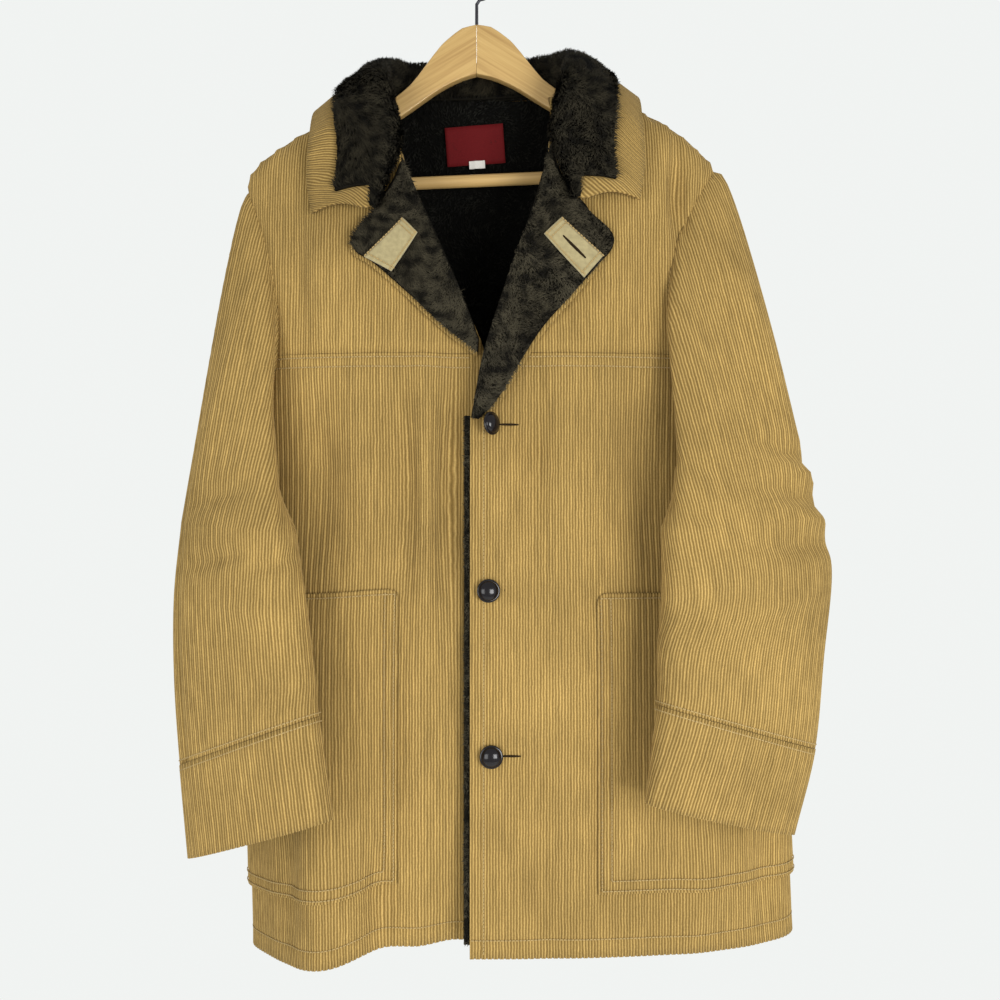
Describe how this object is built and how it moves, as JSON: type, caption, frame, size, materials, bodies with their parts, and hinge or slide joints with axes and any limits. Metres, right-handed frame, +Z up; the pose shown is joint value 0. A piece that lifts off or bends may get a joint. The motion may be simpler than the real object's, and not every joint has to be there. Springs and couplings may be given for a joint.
{
  "type": "barn coat and hanger",
  "caption": "Buttoned wide-wale corduroy barn coat with dark pile collar and lapels and large patch pockets, hung on a flat wooden hanger.",
  "frame": {"origin": "inside top of the hanger's hook, where it hangs from a rail or peg", "axes": "+Z up, the coat's front faces -Y, +X to the wearer's left"},
  "size_m": [0.6415, 0.2357, 1.02],
  "materials": {
    "corduroy": "wide-wale corduroy",
    "pile": "dark pile",
    "lining": "dark pile",
    "patch_tan": "brushed",
    "label_red": "woven",
    "tab_white": "woven",
    "button_horn": "polished",
    "wood": "clear satin",
    "wire": "dark drawn wire"
  },
  "bodies": {
    "root": {"front_left": "corduroy", "front_right": "corduroy", "yoke_left": "corduroy", "yoke_right": "corduroy", "back": "corduroy", "sleeve_top_left": "corduroy", "sleeve_top_right": "corduroy", "sleeve_under_left": "corduroy", "sleeve_under_right": "corduroy", "cuff_left": "corduroy", "cuff_right": "corduroy", "pocket_left": "corduroy", "pocket_right": "corduroy", "collar": "corduroy", "lapel_left": "corduroy", "lapel_right": "corduroy", "collar_pile": "pile", "lapel_pile_left": "pile", "lapel_pile_right": "pile", "edge_pile": "pile", "lining_back": "lining", "lapel_patch_left": "patch_tan", "lapel_patch_right": "patch_tan", "neck_label": "label_red", "label_tab": "tab_white", "button_1": "button_horn", "button_2": "button_horn", "button_3": "button_horn", "hanger_arm_left": "wood", "hanger_arm_right": "wood", "hanger_bar": "wood", "hanger_hook": "wire"}
  },
  "joints": []
}
